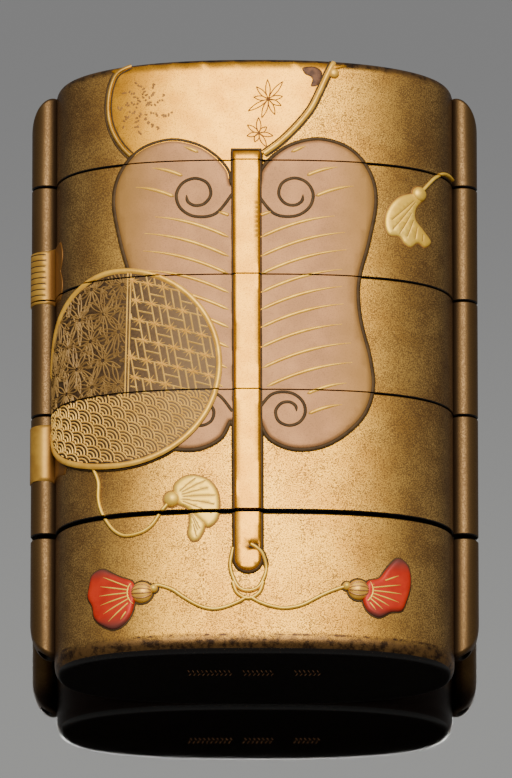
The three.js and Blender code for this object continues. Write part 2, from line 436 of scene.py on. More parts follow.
def tray_faces(index):
    """Heights along the body of a tray's lower and upper faces, with its seams drawn finer than the
    frame's."""
    below, above = FOOT, TOP
    if index < LAST_TRAY:
        below = low_corner[TRAYS[index]][1] - (FRAME_GAPS[index] - SEAM_GAPS[index]) / 2
    if index > 0:
        gap = FRAME_GAPS[index - 1]
        above = low_corner[TRAYS[index - 1]][1] - gap + (gap - SEAM_GAPS[index - 1]) / 2
    return below, above


def crowned_edge(over):
    """A ring this far round the lid's softened edge, which follows the crown of its top."""
    walks = np.linspace(0, 2 * oval_walk[-1], ROUND_STEPS, endpoint=False)
    starts = TOP - CROWN * (oval_at(walks)[0] / HALF_WIDTH) ** 2 - LID_EDGE
    return on_body(walks, starts + over)


def tray_body(index):
    """One hollow box: a lid, a tray with a lip and a recess, or the closed bottom tray."""
    below, above = tray_faces(index)
    is_lid, is_foot = index == 0, index == LAST_TRAY
    recess = below + LIP_HEIGHT + LIP_CLEARANCE
    lip_top = above + LIP_HEIGHT
    rings = []
    if is_foot:
        for i in range(7):
            over = FOOT_EDGE * (math.pi / 2) * (1 - i / 6)
            rings.append((skin_ring(FOOT + FOOT_EDGE - over), BLACK_LOOK if i < 3 else GOLD_LOOK))
    else:
        if is_lid:
            rings += [(ring(height, WALL), BLACK_LOOK) for height in (TOP - LID_THICKNESS, recess)]
        rings += [
            (ring(recess, LIP_INSET - LIP_CLEARANCE), BLACK_LOOK),
            (ring(below, LIP_INSET - LIP_CLEARANCE), BLACK_LOOK),
            (ring(below, EDGE_SOFTNESS), BLACK_LOOK),
            (ring(below + EDGE_SOFTNESS, 0), GOLD_LOOK),
        ]
    if is_lid:
        rings += [(crowned_edge(LID_EDGE * (math.pi / 2) * i / 8), GOLD_LOOK) for i in range(9)]
        scales = (0.9, 0.75, 0.6, 0.45, 0.3, 0.15)
        rings += [(ring(TOP, LID_EDGE, CROWN, scale), GOLD_LOOK) for scale in scales]
    else:
        floor = FOOT + FOOT_THICKNESS if is_foot else recess + FLOOR
        rings += [
            (ring(above - EDGE_SOFTNESS, 0), GOLD_LOOK),
            (ring(above, EDGE_SOFTNESS), BLACK_LOOK),
            (ring(above, LIP_INSET), BLACK_LOOK),
            (ring(lip_top - EDGE_SOFTNESS, LIP_INSET), BLACK_LOOK),
            (ring(lip_top, LIP_INSET + EDGE_SOFTNESS), BLACK_LOOK),
            (ring(lip_top, WALL - EDGE_SOFTNESS), BLACK_LOOK),
            (ring(lip_top - EDGE_SOFTNESS, WALL), BLACK_LOOK),
            (ring(floor + FLOOR_FILLET, WALL), BLACK_LOOK),
            (ring(floor, WALL + FLOOR_FILLET), BLACK_LOOK),
        ]
    return lofted(TRAYS[index] + "_box", rings)


def rod_ring(side, radius, height_at):
    """A ring round a bead's middle line, at heights that may depend on the place across."""
    angles = np.linspace(0, 2 * math.pi, 64, endpoint=False)
    x = side * BEAD_X + radius * np.cos(angles)
    return np.stack([x, height_at(x), MID_Z - radius * np.sin(angles)], -1) * MM


def level(height):
    """A flat end, for a ring that lies square to the bead."""

    def height_at(x):
        return np.full_like(x, height)

    return height_at


def bead_end(x, start, share):
    """How far a bead's end lies from the end of the body, with a softened rim."""
    out = np.clip((np.abs(x) - BEAD_END_X) / (BEAD_X + BEAD_RADIUS - BEAD_END_X), 0, 1)
    rim = np.clip((share - 0.65) / 0.35, 0, 1)
    return start + BEAD_END_FALL * (1 - np.sqrt(1 - out**2)) + 0.55 * (1 - math.sqrt(1 - rim**2))


def bead_cap(side, end, start, way, share):
    """One ring on a bead's rounded end, at a share of its radius."""

    def height_at(x):
        return end + way * bead_end(x, start, share)

    return rod_ring(side, share * BEAD_RADIUS, height_at), GOLD_LOOK


def bead(index, side):
    """The stretch of side bead on one tray, with soft edges at the seams and a falling end."""
    below, above = tray_faces(index)
    seam_radius = BEAD_RADIUS - BEAD_SOFTNESS
    if index == LAST_TRAY:
        rings = [bead_cap(side, FOOT, BEAD_FOOT_RISE, 1, share) for share in BEAD_CAP_SHARES]
    else:
        rings = [
            (rod_ring(side, seam_radius, level(below)), BLACK_LOOK),
            (rod_ring(side, BEAD_RADIUS, level(below + BEAD_SOFTNESS)), GOLD_LOOK),
        ]
    if index == 0:
        rings += [bead_cap(side, TOP, BEAD_TOP_DROP, -1, share) for share in reversed(BEAD_CAP_SHARES)]
    else:
        rings += [
            (rod_ring(side, BEAD_RADIUS, level(above - BEAD_SOFTNESS)), GOLD_LOOK),
            (rod_ring(side, seam_radius, level(above)), BLACK_LOOK),
        ]
    return lofted("bead", rings)


def channel(side):
    """A cutter for the cord's channel, which runs past both ends of the bead."""
    ends = [(rod_ring(side, CHANNEL_RADIUS, level(y)), BLACK_LOOK) for y in (FOOT - 5, TOP + 5)]
    return lofted("channel", ends)


def make_trays():
    for index, name in enumerate(TRAYS):
        box = tray_body(index)
        for side in (-1, 1):
            combine(box, bead(index, side), "UNION")
            combine(box, channel(side), "DIFFERENCE")
        smooth_faces(box, 35)
        finish_piece(box)
        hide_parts(name)


# ---- Figures drawn flat: plates and raised lines ----
# Flat drawings use millimetres: first the walk round the body, then the distance along it, then height.


def bent(points, steps=8, closed=False):
    """A smooth line through a few points."""
    pts = np.array(points, float)
    count = len(pts)
    line = []
    for i in range(count if closed else count - 1):
        if closed:
            a, b, c, d = (pts[(i + k) % count] for k in (-1, 0, 1, 2))
        else:
            a, b, c, d = (pts[min(max(i + k, 0), count - 1)] for k in (-1, 0, 1, 2))
        for t in np.arange(steps) / steps:
            near = (c - a) * t + (2 * a - 5 * b + 4 * c - d) * t**2
            line.append(b + 0.5 * (near + (3 * b - a - 3 * c + d) * t**3))
    if not closed:
        line.append(pts[-1])
    return np.array(line)


def arc(centre, radius, start, end, steps=16):
    angles = np.radians(np.linspace(start, end, steps + 1))
    return np.array(centre) + np.stack([np.cos(angles), np.sin(angles)], -1) * radius


def distance_to(points, line, closed=False):
    """Distance from each flat point to a drawn line."""
    ends = np.roll(line, -1, 0) if closed else line[1:]
    starts = line if closed else line[:-1]
    best = np.full(len(points), 1e9)
    for a, b in zip(starts, ends):
        along = b - a
        part = np.clip(((points - a) @ along) / max(along @ along, 1e-12), 0, 1)
        best = np.minimum(best, np.hypot(*(points - a - part[:, None] * along).T))
    return best


def shifted(line, amount, closed=False):
    """The line moved sideways, to its left for positive amounts."""
    if closed:
        along = np.roll(line, -1, 0) - np.roll(line, 1, 0)
    else:
        along = np.gradient(line, axis=0)
    along /= np.maximum(np.hypot(*along.T)[:, None], 1e-9)
    return line + np.stack([-along[:, 1], along[:, 0]], -1) * amount


def area(outline):
    nxt = np.roll(outline, -1, 0)
    return 0.5 * np.sum(outline[:, 0] * nxt[:, 1] - nxt[:, 0] * outline[:, 1])


def inside(points, outline):
    """True for the points that an outline holds."""
    result = np.zeros(len(points), bool)
    for a, b in zip(outline, np.roll(outline, -1, 0)):
        crosses = (a[1] > points[:, 1]) != (b[1] > points[:, 1])
        rise = b[1] - a[1] if abs(b[1] - a[1]) > 1e-12 else 1e-12
        result ^= crosses & (points[:, 0] < a[0] + (points[:, 1] - a[1]) * (b[0] - a[0]) / rise)
    return result


def plate_layout(outline, edge, grooves, pitch):
    """The flat points of a plate, and the pairs of them that its triangles have to join: the outline,
    rings along the rounded edge, lines along the grooves, and a grid over the rest."""
    lines = []
    for share in (0.12, 0.4, 1.0):
        ring_in = shifted(outline, edge * share, closed=True)
        keep = distance_to(ring_in, outline, closed=True) > edge * share * 0.9
        lines.append((ring_in[keep & inside(ring_in, outline)], False))
    for line, width, _ in grooves:
        for side in (-0.5, -0.25, 0, 0.25, 0.5):
            moved = shifted(line, side * width)
            lines.append((moved[inside(moved, outline)], True))
    low, high = outline.min(0), outline.max(0)
    across, up = np.meshgrid(np.arange(low[0], high[0], pitch), np.arange(low[1], high[1], pitch))
    grid = np.stack([across.ravel(), up.ravel()], -1)
    grid = grid[inside(grid, outline)]
    grid = grid[distance_to(grid, outline, closed=True) > edge * 1.3]
    for line, width, _ in grooves:
        grid = grid[distance_to(grid, line) > width * 0.7]
    coords, joins = list(outline), []
    for line, joined_up in lines:
        start = len(coords)
        coords += list(line)
        if joined_up:
            joins += [(start + i, start + i + 1) for i in range(len(line) - 1)]
    return coords + list(grid), joins


def plate(finish, outline, rise, edge=0.4, grooves=(), pitch=0.8, tint=None, base=-0.15):
    """A raised plate with rounded edges. Grooves are (line, width, depth), and are marked as ink.
    Tint gives each point's share of the finish's second colour."""
    if area(outline) < 0:
        outline = outline[::-1]
    coords, joins = plate_layout(outline, edge, grooves, pitch)
    made = delaunay_2d_cdt([Vector(c) for c in coords], joins, [list(range(len(outline)))], 1, 1e-4)
    points = np.array([tuple(v) for v in made[0]])
    tris = [tuple(f) for f in made[2]]
    inner = distance_to(points, outline, closed=True)
    heights = rise * np.sqrt(1 - (1 - np.clip(inner / edge, 0, 1)) ** 2)
    ink = np.zeros(len(points))
    for line, width, depth in grooves:
        dip = np.clip(1 - (distance_to(points, line) / (width / 2)) ** 2, 0, 1)
        ink = np.maximum(ink, dip)
        heights = heights - depth * dip
    count = len(points)
    upper = np.column_stack([points, heights])
    lower = np.column_stack([points, np.full(count, base)])
    edges = {(tri[i], tri[(i + 1) % 3]) for tri in tris for i in range(3)}
    rim = [(a, b) for tri in tris for a, b in zip(tri, tri[1:] + tri[:1]) if (b, a) not in edges]
    walls = [(b, a, a + count, b + count) for a, b in rim]
    faces = tris + [tuple(i + count for i in reversed(tri)) for tri in tris] + walls
    obj = new_object("plate", np.concatenate([upper, lower]), faces, (finish,))
    tinted = tint(points) if tint else np.zeros(count)
    add_values(obj, ink=np.concatenate([ink, ink]), tint=np.concatenate([tinted, tinted]))
    return obj


def node_tree(name, sockets, made):
    """A tree of geometry nodes with these sockets, ending in real faces of one finish.
    Returns the tree, its way in, and the socket that takes the figures."""
    tree = bpy.data.node_groups.new(name, "GeometryNodeTree")
    for label, kind in sockets + [("Finish", "Material")]:
        tree.interface.new_socket(label, in_out="INPUT", socket_type="NodeSocket" + kind)
    tree.interface.new_socket(made, in_out="OUTPUT", socket_type="NodeSocketGeometry")
    nodes = tree.nodes
    start, end = nodes.new("NodeGroupInput"), nodes.new("NodeGroupOutput")
    real = nodes.new("GeometryNodeRealizeInstances")
    paint = nodes.new("GeometryNodeSetMaterial")
    wire(tree, (real, "Geometry", paint, "Geometry"))
    wire(tree, (start, "Finish", paint, "Material"))
    wire(tree, (paint, "Geometry", end, made))
    return tree, start, real


def wire(tree, *wires):
    """Joins nodes. Each wire is (node, its output, node, its input)."""
    for source, giving, target, taking in wires:
        tree.links.new(source.outputs[giving], target.inputs[taking])


def line_tree():
    """Nodes that sweep a round bar along drawn lines, as thick as each point's radius."""
    sockets = [("Lines", "Geometry"), ("Thickness", "Float"), ("Sides", "Int")]
    tree, start, real = node_tree("bar along lines", sockets, "Bars")
    level = tree.nodes.new("GeometryNodeSetCurveNormal")
    level.mode = "Z_UP"
    section = tree.nodes.new("GeometryNodeCurvePrimitiveCircle")
    sweep = tree.nodes.new("GeometryNodeCurveToMesh")
    sweep.inputs["Fill Caps"].default_value = True
    wire(
        tree,
        (start, "Lines", level, "Curve"),
        (level, "Curve", sweep, "Curve"),
        (start, "Sides", section, "Resolution"),
        (start, "Thickness", section, "Radius"),
        (section, "Curve", sweep, "Profile Curve"),
        (sweep, "Mesh", real, "Geometry"),
    )
    if "Scale" in sweep.inputs:
        wire(tree, (tree.nodes.new("GeometryNodeInputRadius"), "Radius", sweep, "Scale"))
    return tree


def named_number(tree, name):
    """The numbers that a mesh's points carry under this name."""
    node = tree.nodes.new("GeometryNodeInputNamedAttribute")
    node.inputs["Name"].default_value = name
    return node


def scatter_tree():
    """Nodes that set one small figure down on marked points, turned and sized by them."""
    sockets = [("Points", "Geometry"), ("Figure", "Object")]
    tree, start, real = node_tree("figures on points", sockets, "Figures")
    figure = tree.nodes.new("GeometryNodeObjectInfo")
    angle = tree.nodes.new("ShaderNodeCombineXYZ")
    put = tree.nodes.new("GeometryNodeInstanceOnPoints")
    wire(
        tree,
        (start, "Points", put, "Points"),
        (start, "Figure", figure, "Object"),
        (figure, "Geometry", put, "Instance"),
        (named_number(tree, "turn"), "Attribute", angle, "Z"),
        (angle, "Vector", put, "Rotation"),
        (named_number(tree, "size"), "Attribute", put, "Scale"),
        (put, "Instances", real, "Geometry"),
    )
    return tree


LINE_TREE = line_tree()
SCATTER_TREE = scatter_tree()


def run_tree(obj, tree, **values):
    change = obj.modifiers.new("nodes", "NODES")
    change.node_group = tree
    for item in tree.interface.items_tree:
        if item.in_out == "INPUT" and item.name in values:
            change[item.identifier] = values[item.name]
    return obj


def bars(lines, finish, width=0.3, rise=0.15, height=0.0, sides=6, taper=(0, 0), closed=False):
    """Raised lines. Each has a round section, flattened to rise above the height that it lies on, or
    above the height that its own points give. Taper is the share of the line that each end thins
    over."""
    squeeze = rise / (width / 2)
    data = bpy.data.curves.new("lines", "CURVE")
    data.dimensions = "3D"
    for line in lines:
        line = np.asarray(line, float)
        count = len(line)
        heights = line[:, 2] if line.shape[1] == 3 else np.full(count, height)
        spline = data.splines.new("POLY")
        spline.points.add(count - 1)
        places = np.column_stack([line[:, :2], heights / squeeze, np.ones(count)])
        spline.points.foreach_set("co", places.ravel())
        share = np.linspace(0, 1, count)
        thin = np.ones(count)
        for reach, from_end in zip(taper, (share, 1 - share)):
            if reach:
                thin *= np.clip(from_end / reach, 0.12, 1) ** 0.7
        spline.points.foreach_set("radius", thin)
        spline.use_cyclic_u = closed
    swept = bpy.data.objects.new("lines", data)
    bpy.context.scene.collection.objects.link(swept)
    run_tree(swept, LINE_TREE, Thickness=width / 2, Sides=sides, Finish=finish)
    graph = bpy.context.evaluated_depsgraph_get()
    mesh = bpy.data.meshes.new_from_object(swept.evaluated_get(graph), depsgraph=graph)
    bpy.data.objects.remove(swept)
    obj = bpy.data.objects.new("lines", mesh)
    bpy.context.scene.collection.objects.link(obj)
    points = read_points(obj)
    points[:, 2] *= squeeze
    write_points(obj, points)
    return obj


def read_points(obj):
    co = np.zeros(len(obj.data.vertices) * 3)
    obj.data.vertices.foreach_get("co", co)
    return co.reshape(-1, 3)


def write_points(obj, co):
    obj.data.vertices.foreach_set("co", np.ascontiguousarray(co).ravel())
    obj.data.update()


def scattered(figure, places, turns, sizes, finish):
    """Copies of one flat figure on flat points, as one plain mesh."""
    obj = new_object("figures", [(p[0], p[1], 0) for p in places], [])
    add_values(obj, turn=turns, size=sizes)
    run_tree(obj, SCATTER_TREE, Figure=figure, Finish=finish)
    settle(obj)
    bpy.data.objects.remove(figure)
    return obj


def joined(name, pieces):
    """Several flat drawings of one finish as one object."""
    if len(pieces) > 1:
        with bpy.context.temp_override(active_object=pieces[0], selected_editable_objects=pieces):
            bpy.ops.object.join()
    pieces[0].name = pieces[0].data.name = name
    return pieces[0]


def lay(name, pieces, onto=on_body):
    """Joins flat drawings, cuts them where the trays part, and lays each stretch on its own tray."""
    flat = joined(name, pieces)
    co = read_points(flat)
    co[:, 1] += FIGURE_LEVEL
    write_points(flat, co)
    low, high = co[:, 1].min(), co[:, 1].max()
    for index, tray in enumerate(TRAYS):
        below, above = tray_faces(index)
        if above <= low or below >= high:
            continue
        part = bmesh.new()
        part.from_mesh(flat.data)
        for level, direction in ((below, -1), (above, 1)):
            if low < level < high:
                everything = part.verts[:] + part.edges[:] + part.faces[:]
                bmesh.ops.bisect_plane(
                    part, geom=everything, dist=1e-5, plane_co=(0, level, 0),
                    plane_no=(0, direction, 0), clear_outer=True,
                )
                open_edges = [e for e in part.edges if e.is_boundary]
                bmesh.ops.holes_fill(part, edges=open_edges)
        if not part.verts:
            part.free()
            continue
        mesh = bpy.data.meshes.new(f"{tray}_{flat.name}")
        part.to_mesh(mesh)
        part.free()
        for finish in flat.data.materials:
            mesh.materials.append(finish)
        piece = bpy.data.objects.new(mesh.name, mesh)
        bpy.context.scene.collection.objects.link(piece)
        co = read_points(piece)
        write_points(piece, onto(co[:, 0], co[:, 1], co[:, 2]))
        face_outwards(piece)
        smooth_faces(piece, 70)
        finish_piece(piece)
    bpy.data.objects.remove(flat)


# ---- Finishes of the figures ----


def figure_finish(name, colour, second, metallic, roughness, grain=400, dark=(0.05, 0.028, 0.014),
                  speck=0.0, tinted=(0.1, 0.06, 0.07)):
    """Lacquer of cloudy tone with optional dark specks, its ink dark and its tint in a second colour."""
    mix = Mixer(name)
    tone = mix.blend(mix.ramp(mix.noise(grain, 3), 0.3, 0.7), colour, second)
    if speck:
        tone = mix.blend(mix.ramp(mix.noise(6500, 2), 0.5, 0.68, 0, speck), tone, dark)
    tone = mix.blend(mix.mark("tint"), tone, tinted)
    tone = mix.blend(mix.ramp(mix.mark("ink"), 0.1, 0.8), tone, dark)
    mix.join(tone, mix.shader.inputs["Base Color"])
    mix.shader.inputs["Metallic"].default_value = metallic
    mix.shader.inputs["Roughness"].default_value = roughness
    mix.shader.inputs["Specular IOR Level"].default_value = 0.15
    mix.bump(mix.noise(2600, 2), 0.1, 0.00005)
    return mix.material


MAUVE = figure_finish("mauve silver", (0.4, 0.182, 0.068), (0.31, 0.142, 0.052), 0.4, 0.5, 260,
                      speck=0.25, tinted=(0.34, 0.17, 0.035))
BRIGHT = figure_finish("polished gold", (0.7, 0.315, 0.02), (0.55, 0.23, 0.013), 0.85, 0.42, 300,
                       speck=0.45)
PALE = figure_finish("pale gold", (0.95, 0.6, 0.085), (0.86, 0.5, 0.05), 0.6, 0.5, 400,
                     dark=(0.42, 0.22, 0.05))
LINE = figure_finish("gold line", (0.86, 0.47, 0.06), (0.7, 0.35, 0.04), 0.45, 0.45, 700)
FINE_LINE = figure_finish("fine gold line", (0.88, 0.52, 0.11), (0.74, 0.41, 0.075), 0.15, 0.5, 700)
OLD_LINE = figure_finish("dull gold line", (0.32, 0.18, 0.05), (0.22, 0.12, 0.034), 0.1, 0.5, 500)
DARK = figure_finish("dark line", (0.05, 0.026, 0.008), (0.075, 0.04, 0.013), 0.2, 0.6, 900)
COPPER = figure_finish("engraved line", (0.5, 0.24, 0.09), (0.36, 0.16, 0.055), 0.7, 0.45, 900)
AMBER = figure_finish("amber gold", (0.5, 0.27, 0.04), (0.36, 0.18, 0.028), 0.5, 0.45, 500,
                      tinted=(0.16, 0.065, 0.012))
GROUND = figure_finish("dark fan ground", (0.04, 0.02, 0.009), (0.1, 0.055, 0.022), 0.5, 0.5, 2600,
                       speck=0.5, tinted=(0.11, 0.063, 0.026))
RED = figure_finish("red lacquer", (0.5, 0.03, 0.008), (0.4, 0.018, 0.006), 0.15, 0.4, 500,
                    tinted=(0.13, 0.035, 0.025))
RUST = figure_finish("rubbed line", (0.3, 0.135, 0.03), (0.2, 0.085, 0.02), 0.2, 0.5, 900)
WORN = figure_finish("worn lacquer", (0.14, 0.06, 0.025), (0.06, 0.026, 0.012), 0.3, 0.5, 1200)


# ---- Small helps for drawing ----


def walked(points):
    """Points given across and along, as walks and heights."""
    points = np.asarray(points, float)
    return np.column_stack([round_from(points[:, 0]), points[:, 1:]])


def runs(line, kept):
    """The stretches of a line whose points are kept."""
    pieces, current = [], []
    for point, keep in zip(line, kept):
        if keep:
            current.append(point)
        else:
            pieces.append(current)
            current = []
    pieces.append(current)
    return [np.array(piece) for piece in pieces if len(piece) > 1]


def all_runs(lines, keep):
    """The kept stretches of many lines, where keep tells which points of a line stay."""
    return [run for line in lines for run in runs(line, keep(line))]


def between(a, b, step=0.25):
    a, b = np.asarray(a, float), np.asarray(b, float)
    count = max(2, int(np.hypot(*(b - a)[:2]) / step) + 1)
    return a + np.linspace(0, 1, count)[:, None] * (b - a)


def grown(outline, amount):
    """A closed outline moved outwards, or inwards for negative amounts."""
    return shifted(outline, -amount if area(outline) > 0 else amount, closed=True)


def turned(points, degrees, about=(0.0, 0.0)):
    c, s = math.cos(math.radians(degrees)), math.sin(math.radians(degrees))
    return np.asarray(points) @ np.array([[c, s], [-s, c]]) + np.array(about)


# ---- War fan: two wings and a long handle ----

FAN_X = -1.35
WING = [
    (0.7, 22.5), (1.95, 24.6), (2.4, 26.7), (4.2, 28.9), (6.9, 30.6), (10.6, 31.3), (14.6, 30),
    (17.2, 26.8), (18, 22.7),
    (17, 16.7), (15.6, 10.8), (15.8, 5.5), (17.2, -0.5), (17.5, -5), (15.8, -9.3),
    (11.6, -12.9), (7.1, -13.8), (3.6, -12.4), (2.1, -9.8), (0.7, -8),
]
WING_RISE = 0.35
SCROLL_RADII = [5.1, 4.0, 3.2, 2.8, 2.6, 2.45, 2.38, 2.34, 2.15, 1.85, 1.6, 1.42, 1.2]
SCROLLS = [(6.85, 23.2, 1, 1.0), (6.1, -8.5, -1, 0.86)]
VEINS = [
    (2.2, 20.1, 1.6), (2.2, 16.9, 10.2), (2.2, 14.1, 11.6), (2.2, 11.5, 11.8), (2.2, 8.8, 11.2),
    (2.2, 6.3, 11.2), (2.2, 3.7, 11.4), (2.2, 0.8, 11.2), (2.4, -2.2, 12.2), (3.0, -4.9, 11.8),
    (8.6, 26, 4.2), (9.8, 23, 5.2), (6.4, 29.4, 5.8), (8.8, -8.8, 4.6), (8.6, -5.9, 5.4),
]


def wing_outline(side):
    return walked(bent([(FAN_X + side * u, v) for u, v in WING], 7, closed=True))


def scroll(side, centre, height, way, size):
    points = []
    for i, radius in enumerate(SCROLL_RADII):
        turn = math.pi + i * math.pi / 4
        u = centre + size * radius * math.cos(turn)
        points.append((FAN_X + side * u, height + way * size * radius * math.sin(turn)))
    return walked(bent(points, 7))


def vein(side, start, height, reach):
    share = np.linspace(0, 1, 18)
    rise = reach * (0.52 * share - 0.2 * share**2)
    return walked(np.column_stack([FAN_X + side * (start + reach * share), height + rise]))


def warmer_outside(points):
    return np.clip((np.abs(points[:, 0] - FAN_X) - 11) / 8, 0, 0.7)


def make_war_fan():
    wings, edges, scrolls, veins = [], [], [], []
    for side in (-1, 1):
        outline = wing_outline(side)
        wings.append(plate(MAUVE, outline, WING_RISE, 0.55, pitch=0.9, tint=warmer_outside))
        edges.append(grown(outline, 0.14))
        scrolls += [scroll(side, *place) for place in SCROLLS]
        room = grown(outline, -0.7)
        for place in VEINS:
            line = vein(side, *place)
            veins += runs(line, inside(line, room))
    lay("wings", wings)
    lay("wing_outlines", [bars(edges, DARK, 0.62, 0.2, 0.1, closed=True)])
    lay("wing_scrolls", [bars(scrolls, DARK, 0.46, 0.08, WING_RISE, taper=(0, 0.06))])
    lay("wing_veins", [bars(veins, LINE, 0.52, 0.16, WING_RISE, taper=(0.03, 0.45))])


HANDLE_RISE = 0.75
HANDLE_TOP = 29.8
HANDLE_TIP = -29.8
HANDLE_RADIUS = 1.85
HANDLE_MIDDLE = -0.9
HANDLE_HOLE = (-0.1, -28.0)


def handle_outline():
    """A long bar, a little narrower towards its round tip."""
    tip = arc((HANDLE_MIDDLE, HANDLE_TIP), HANDLE_RADIUS, 180, 360, 20)
    heights = np.linspace(HANDLE_TIP, HANDLE_TOP, 90)[1:]
    share = (heights - HANDLE_TIP) / (HANDLE_TOP - HANDLE_TIP)
    right = np.column_stack([HANDLE_MIDDLE + HANDLE_RADIUS - 0.15 * share, heights])
    left = np.column_stack([HANDLE_MIDDLE - HANDLE_RADIUS - 0.35 * share, heights])
    return np.concatenate([tip, right, left[::-1]])


def make_handle():
    outline = handle_outline()
    hole = between(np.array(HANDLE_HOLE) - (0.45, 0.1), np.array(HANDLE_HOLE) + (0.45, -0.1), 0.1)
    lay("handle", [plate(BRIGHT, outline, HANDLE_RISE, 0.3, [(hole, 0.95, 0.5)], 0.7)])
    lay("handle_outline", [bars([outline], DARK, 0.7, 0.42, closed=True)])


def make_cords():
    """The ring through the handle, its knot, and the loose cords of the tassels."""
    over = HANDLE_RISE - 0.05
    routes = [
        [(-0.5, -27.9, over), (0.3, -28.4, over), (1.1, -29.2, 0.45), (1.6, -30.9, 0), (1.35, -32.4, 0),
         (0.5, -33.9, 0), (-0.9, -34.4, 0), (-2.2, -33.9, 0), (-3.05, -32.2, 0), (-3.35, -30.6, 0),
         (-3.1, -28.9, 0), (-2.95, -28.2, 0)],
        [(1.2, -33.1, 0), (0.6, -34.7, 0), (-0.9, -35.5, 0), (-2.4, -34.7, 0), (-3.0, -33.1, 0)],
        [(-1.1, -35.3, 0), (-2.2, -36.0, 0), (-4.2, -36.8, 0), (-5.9, -37.0, 0), (-7.7, -36.5, 0),
         (-9.8, -35.2, 0), (-11.3, -34.1, 0), (-13.1, -33.4, 0), (-13.9, -33.5, 0)],
        [(-0.6, -35.3, 0), (0.8, -36.1, 0), (2.6, -36.7, 0), (4.4, -36.9, 0), (6.6, -36.4, 0),
         (8.8, -35.2, 0), (10.4, -34.4, 0), (12.2, -33.7, 0), (13.1, -33.8, 0)],
        [(-22.2, -15.6, 0), (-21.5, -17.7, 0), (-21.5, -20.0, 0), (-21.1, -21.9, 0), (-20.3, -23.6, 0),
         (-19.2, -25.1, 0), (-17.7, -25.9, 0), (-15.6, -25.6, 0), (-14.1, -24.6, 0), (-12.9, -22.8, 0),
         (-11.9, -21.6, 0)],
        [(27.4, 28.9, 0), (26.2, 28.7, 0), (25.0, 27.6, 0), (24.1, 26.4, 0), (23.3, 25.3, 0),
         (22.7, 24.7, 0)],
    ]
    cords, edges = [], []
    for route in routes:
        line = walked(bent(route, 8))
        cords.append(line)
        edges.append(line - np.array([0, 0, 0.05]))
    lay("cords", [bars(cords, PALE, 0.52, 0.42, sides=8)])
    lay("cord_edges", [bars(edges, DARK, 0.9, 0.1)])


# ---- Round fan ----

ROUND_FAN = np.array([-19.0, -1.6])
ROUND_FAN_RADIUS = 14.45
ROUND_FAN_RISE = 0.55
DIVIDER_TOP = np.array([-17.3, 12.6])
DIVIDER_FOOT = np.array([-17.7, -5.6])
WAVES_TOP = -5.4
LINE_WIDTH = 0.22


def leaned(line):
    """The fan's outer side leans: it reaches further round the body low down than high up."""
    away = line - ROUND_FAN
    share = np.clip(-away[:, 0] / ROUND_FAN_RADIUS, 0, 1)
    return line + np.column_stack([0.17 * away[:, 1] * share, np.zeros(len(line))])


def in_fan(line):
    return np.hypot(*(line - ROUND_FAN).T) < ROUND_FAN_RADIUS - 0.7


def right_of_divider(line):
    share = (line[:, 1] - DIVIDER_FOOT[1]) / (DIVIDER_TOP[1] - DIVIDER_FOOT[1])
    return line[:, 0] > DIVIDER_FOOT[0] + share * (DIVIDER_TOP[0] - DIVIDER_FOOT[0]) + 0.3


def in_lattice(line):
    return in_fan(line) & right_of_divider(line) & (line[:, 1] > WAVES_TOP)


def in_sprays(line):
    return in_fan(line) & ~right_of_divider(line + (0.55, 0)) & (line[:, 1] > WAVES_TOP)


def in_waves(line):
    return in_fan(line) & (line[:, 1] < WAVES_TOP)


def lattice_lines():
    """A leaning lattice with a bar across the middle of each cell, upright and level by turns."""
    down, along = np.array([0.5, -2.95]), np.array([2.15, -0.62])
    start = ROUND_FAN + np.array([-7.0, 18.0])
    lines = []
    for i in range(15):
        for j in range(14):
            corner = start + i * along + j * down
            lines.append(between(corner, corner + down))
            lines.append(between(corner, corner + along))
            if (i + j) % 2:
                lines.append(between(corner + along / 2, corner + along / 2 + down))
            else:
                lines.append(between(corner + down / 2, corner + down / 2 + along))
    spots = np.array([start + i * along + j * down for i in range(15) for j in range(14)])
    edge_room = np.hypot(*(spots - ROUND_FAN).T) < ROUND_FAN_RADIUS - 1.3
    starred = edge_room & in_lattice(spots) & (spots[:, 1] > WAVES_TOP + 0.4)
    return all_runs(lines, in_lattice), spots[starred]


def spray_lines():
    """Sprays of long narrow leaves, each drawn as its outline, with small curls between them."""
    across = np.linspace(0, 1, 10)
    lines = []
    pick = np.random.default_rng(7)
    for row in range(-1, 6):
        for column in range(-1, 4):
            centre = ROUND_FAN + (-12.6 + 4.3 * column + 2.15 * (row % 2), 12.0 - 3.6 * row)
            centre = centre + pick.uniform(-0.5, 0.5, 2)
            first = pick.uniform(0, 60)
            for petal in range(8):
                reach = 2.2 + 1.3 * ((petal * 3) % 4) / 3
                bulge = 0.3 * np.sin(math.pi * across)
                for side in (-1, 1):
                    leaf = np.column_stack([0.3 + reach * across, side * bulge])
                    lines.append(turned(leaf, first + 45 * petal, centre))
    for _ in range(150):
        centre = ROUND_FAN + pick.uniform((-14, -5), (2, 14))
        curl = np.column_stack([1.5 * (across - 0.5), 0.22 * np.sin(2 * math.pi * across)])
        lines.append(turned(curl, pick.uniform(0, 180), centre))
    return all_runs(lines, in_sprays)


def wave_lines():
    """Overlapping waves: each scale is four arcs, hidden where the next row lies over it."""
    scale, tilt = 1.7, -48
    rows = []
    for row in range(-14, 15):
        for column in range(-6, 7):
            rows.append(((2 * column + row % 2) * scale, row * scale / 2))
    lines = []
    for x, y in rows:
        for radius in (1.0, 0.74, 0.48, 0.22):
            points = arc((x, y), radius * scale, 0, 180, 14)
            hidden = np.zeros(len(points), bool)
            for dx, dy in ((scale, -scale / 2), (-scale, -scale / 2), (0, -scale)):
                hidden |= np.hypot(*(points - (x + dx, y + dy)).T) < scale - 0.01
            lines += runs(points, ~hidden)
    return all_runs([turned(line, tilt, ROUND_FAN + (0, -9)) for line in lines], in_waves)


